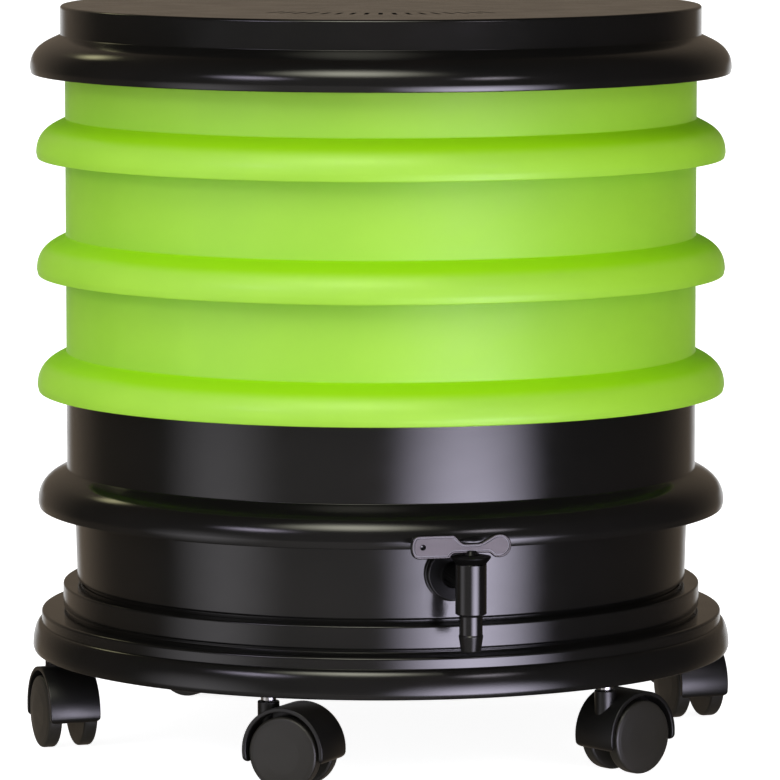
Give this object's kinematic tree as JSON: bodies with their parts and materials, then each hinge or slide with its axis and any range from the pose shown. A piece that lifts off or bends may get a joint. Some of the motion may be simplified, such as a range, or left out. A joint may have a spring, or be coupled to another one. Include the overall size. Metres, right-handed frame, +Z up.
{
  "type": "wormery",
  "caption": "Round stacking worm bin: lid, nesting perforated trays, liquid collector with a lever tap, and a flanged base on twin-wheel castors.",
  "frame": {"origin": "the bin's vertical axis, at the level of the floor under the wheels", "axes": "+Z up along the bin's axis; -Y towards the front, where the tap is a little to the right; +X to the right"},
  "size_m": [0.5246, 0.58, 0.5433],
  "materials": {
    "green_plastic": "satin moulded polypropylene",
    "black_plastic": "glossy moulded polypropylene",
    "tap_plastic": "satin moulded plastic",
    "lever_plastic": "fine matt moulded plastic",
    "castor_plastic": "satin nylon",
    "wheel_plastic": "satin nylon",
    "steel": "bright zinc-plated steel",
    "rubber": "moulded rubber"
  },
  "bodies": {
    "base": {"base": "black_plastic", "castor_1_socket": "castor_plastic", "castor_2_socket": "castor_plastic", "castor_3_socket": "castor_plastic", "castor_4_socket": "castor_plastic", "castor_5_socket": "castor_plastic", "castor_6_socket": "castor_plastic"},
    "collector": {"collector": "black_plastic", "tap_body": "tap_plastic", "tap_bonnet": "tap_plastic", "tap_gasket": "rubber", "tap_nut": "tap_plastic"},
    "tray_bottom": {"tray_bottom": "green_plastic"},
    "tray_middle": {"tray_middle": "green_plastic"},
    "tray_top": {"tray_top": "green_plastic"},
    "lid": {"lid": "black_plastic"},
    "tap_lever": {"tap_lever": "lever_plastic", "tap_plug_seal": "rubber"},
    "castor_1": {"castor_1_stem": "steel", "castor_1_hood": "castor_plastic", "castor_1_axle": "steel"},
    "castor_1_left": {"castor_1_wheel_left": "wheel_plastic"},
    "castor_1_right": {"castor_1_wheel_right": "wheel_plastic"},
    "castor_2": {"castor_2_stem": "steel", "castor_2_hood": "castor_plastic", "castor_2_axle": "steel"},
    "castor_2_left": {"castor_2_wheel_left": "wheel_plastic"},
    "castor_2_right": {"castor_2_wheel_right": "wheel_plastic"},
    "castor_3": {"castor_3_stem": "steel", "castor_3_hood": "castor_plastic", "castor_3_axle": "steel"},
    "castor_3_left": {"castor_3_wheel_left": "wheel_plastic"},
    "castor_3_right": {"castor_3_wheel_right": "wheel_plastic"},
    "castor_4": {"castor_4_stem": "steel", "castor_4_hood": "castor_plastic", "castor_4_axle": "steel"},
    "castor_4_left": {"castor_4_wheel_left": "wheel_plastic"},
    "castor_4_right": {"castor_4_wheel_right": "wheel_plastic"},
    "castor_5": {"castor_5_stem": "steel", "castor_5_hood": "castor_plastic", "castor_5_axle": "steel"},
    "castor_5_left": {"castor_5_wheel_left": "wheel_plastic"},
    "castor_5_right": {"castor_5_wheel_right": "wheel_plastic"},
    "castor_6": {"castor_6_stem": "steel", "castor_6_hood": "castor_plastic", "castor_6_axle": "steel"},
    "castor_6_left": {"castor_6_wheel_left": "wheel_plastic"},
    "castor_6_right": {"castor_6_wheel_right": "wheel_plastic"}
  },
  "joints": [
    {"name": "collector_lift", "type": "slide", "parent": "base", "child": "collector", "axis": [0, 0, 1], "range_m": [0, 0.1]},
    {"name": "tray_bottom_lift", "type": "slide", "parent": "collector", "child": "tray_bottom", "axis": [0, 0, 1], "range_m": [0, 0.1]},
    {"name": "tray_middle_lift", "type": "slide", "parent": "tray_bottom", "child": "tray_middle", "axis": [0, 0, 1], "range_m": [0, 0.1]},
    {"name": "tray_top_lift", "type": "slide", "parent": "tray_middle", "child": "tray_top", "axis": [0, 0, 1], "range_m": [0, 0.1]},
    {"name": "lid_lift", "type": "slide", "parent": "tray_top", "child": "lid", "axis": [0, 0, 1], "range_m": [0, 0.12]},
    {"name": "tap_turn", "type": "hinge", "parent": "collector", "child": "tap_lever", "pos_m": [0.06336, -0.27889, 0.17], "axis": [0, 0, 1], "range_deg": [0, 90]},
    {"name": "castor_1_swivel", "type": "hinge", "parent": "base", "child": "castor_1", "pos_m": [-0.07936, -0.23179, 0.06], "axis": [0, 0, 1], "continuous": true},
    {"name": "castor_1_left_spin", "type": "hinge", "parent": "castor_1", "child": "castor_1_left", "pos_m": [-0.06138, -0.24056, 0.0265], "axis": [0.4384, 0.8988, 0], "continuous": true},
    {"name": "castor_1_right_spin", "type": "hinge", "parent": "castor_1", "child": "castor_1_right", "pos_m": [-0.06138, -0.24056, 0.0265], "axis": [0.4384, 0.8988, 0], "continuous": true},
    {"name": "castor_2_swivel", "type": "hinge", "parent": "base", "child": "castor_2", "pos_m": [0.16106, -0.18462, 0.06], "axis": [0, 0, 1], "continuous": true},
    {"name": "castor_2_left_spin", "type": "hinge", "parent": "castor_2", "child": "castor_2_left", "pos_m": [0.17592, -0.17124, 0.0265], "axis": [-0.6691, 0.7431, 0], "continuous": true},
    {"name": "castor_2_right_spin", "type": "hinge", "parent": "castor_2", "child": "castor_2_right", "pos_m": [0.17592, -0.17124, 0.0265], "axis": [-0.6691, 0.7431, 0], "continuous": true},
    {"name": "castor_3_swivel", "type": "hinge", "parent": "base", "child": "castor_3", "pos_m": [0.24042, 0.04717, 0.06], "axis": [0, 0, 1], "continuous": true},
    {"name": "castor_3_left_spin", "type": "hinge", "parent": "castor_3", "child": "castor_3_left", "pos_m": [0.23358, 0.06596, 0.0265], "axis": [-0.9397, -0.342, 0], "continuous": true},
    {"name": "castor_3_right_spin", "type": "hinge", "parent": "castor_3", "child": "castor_3_right", "pos_m": [0.23358, 0.06596, 0.0265], "axis": [-0.9397, -0.342, 0], "continuous": true},
    {"name": "castor_4_swivel", "type": "hinge", "parent": "base", "child": "castor_4", "pos_m": [0.07936, 0.23179, 0.06], "axis": [0, 0, 1], "continuous": true},
    {"name": "castor_4_left_spin", "type": "hinge", "parent": "castor_4", "child": "castor_4_left", "pos_m": [0.07219, 0.25046, 0.0265], "axis": [-0.9336, -0.3584, 0], "continuous": true},
    {"name": "castor_4_right_spin", "type": "hinge", "parent": "castor_4", "child": "castor_4_right", "pos_m": [0.07219, 0.25046, 0.0265], "axis": [-0.9336, -0.3584, 0], "continuous": true},
    {"name": "castor_5_swivel", "type": "hinge", "parent": "base", "child": "castor_5", "pos_m": [-0.16106, 0.18462, 0.06], "axis": [0, 0, 1], "continuous": true},
    {"name": "castor_5_left_spin", "type": "hinge", "parent": "castor_5", "child": "castor_5_left", "pos_m": [-0.14374, 0.17462, 0.0265], "axis": [0.5, 0.866, 0], "continuous": true},
    {"name": "castor_5_right_spin", "type": "hinge", "parent": "castor_5", "child": "castor_5_right", "pos_m": [-0.14374, 0.17462, 0.0265], "axis": [0.5, 0.866, 0], "continuous": true},
    {"name": "castor_6_swivel", "type": "hinge", "parent": "base", "child": "castor_6", "pos_m": [-0.24042, -0.04717, 0.06], "axis": [0, 0, 1], "continuous": true},
    {"name": "castor_6_left_spin", "type": "hinge", "parent": "castor_6", "child": "castor_6_left", "pos_m": [-0.23374, -0.06602, 0.0265], "axis": [0.9426, 0.3338, 0], "continuous": true},
    {"name": "castor_6_right_spin", "type": "hinge", "parent": "castor_6", "child": "castor_6_right", "pos_m": [-0.23374, -0.06602, 0.0265], "axis": [0.9426, 0.3338, 0], "continuous": true}
  ]
}
